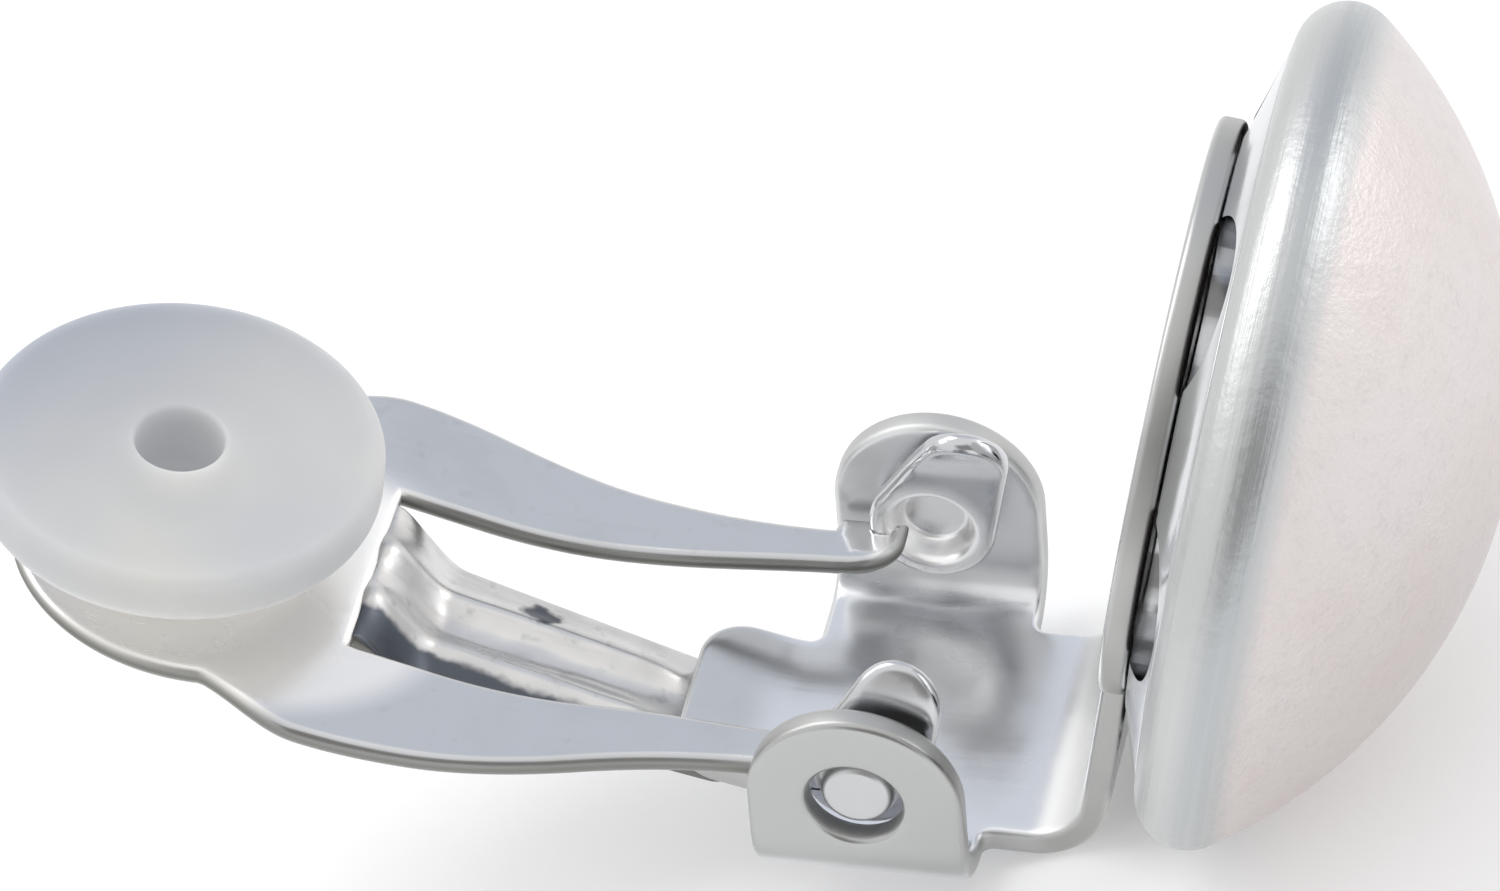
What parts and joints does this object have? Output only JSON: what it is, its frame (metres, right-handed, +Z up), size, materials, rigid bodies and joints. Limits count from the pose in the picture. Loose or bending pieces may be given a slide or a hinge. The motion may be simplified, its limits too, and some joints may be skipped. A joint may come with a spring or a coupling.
{
  "type": "clip on earring",
  "caption": "Clip on earring: hollow satin dome on a folded clip bracket, with a hinged paddle, spring tongue and soft cushion.",
  "frame": {"origin": "on the surface that the open earring lies on, under the middle of its length and width", "axes": "+Z up from that surface; +X from the cushion towards the dome; Y along the hinge, with the clip symmetric about Y = 0"},
  "size_m": [0.0276, 0.0146, 0.0131],
  "materials": {
    "satin_dome": "silver plated, satin brushed",
    "polished_metal": "silver plated, polished",
    "silicone": "translucent white, satin"
  },
  "bodies": {
    "dome_and_bracket": {"dome_shell": "satin_dome", "back_plate": "polished_metal", "clip_bracket": "polished_metal"},
    "paddle_and_cushion": {"paddle": "polished_metal", "spring_tongue": "polished_metal", "comfort_cushion": "silicone"}
  },
  "joints": [
    {"name": "clip_hinge", "type": "hinge", "parent": "dome_and_bracket", "child": "paddle_and_cushion", "pos_m": [0.00071, 0, 0.00315], "axis": [0, 1, 0], "range_deg": [0, 98], "deforming": ["spring_tongue"]}
  ]
}
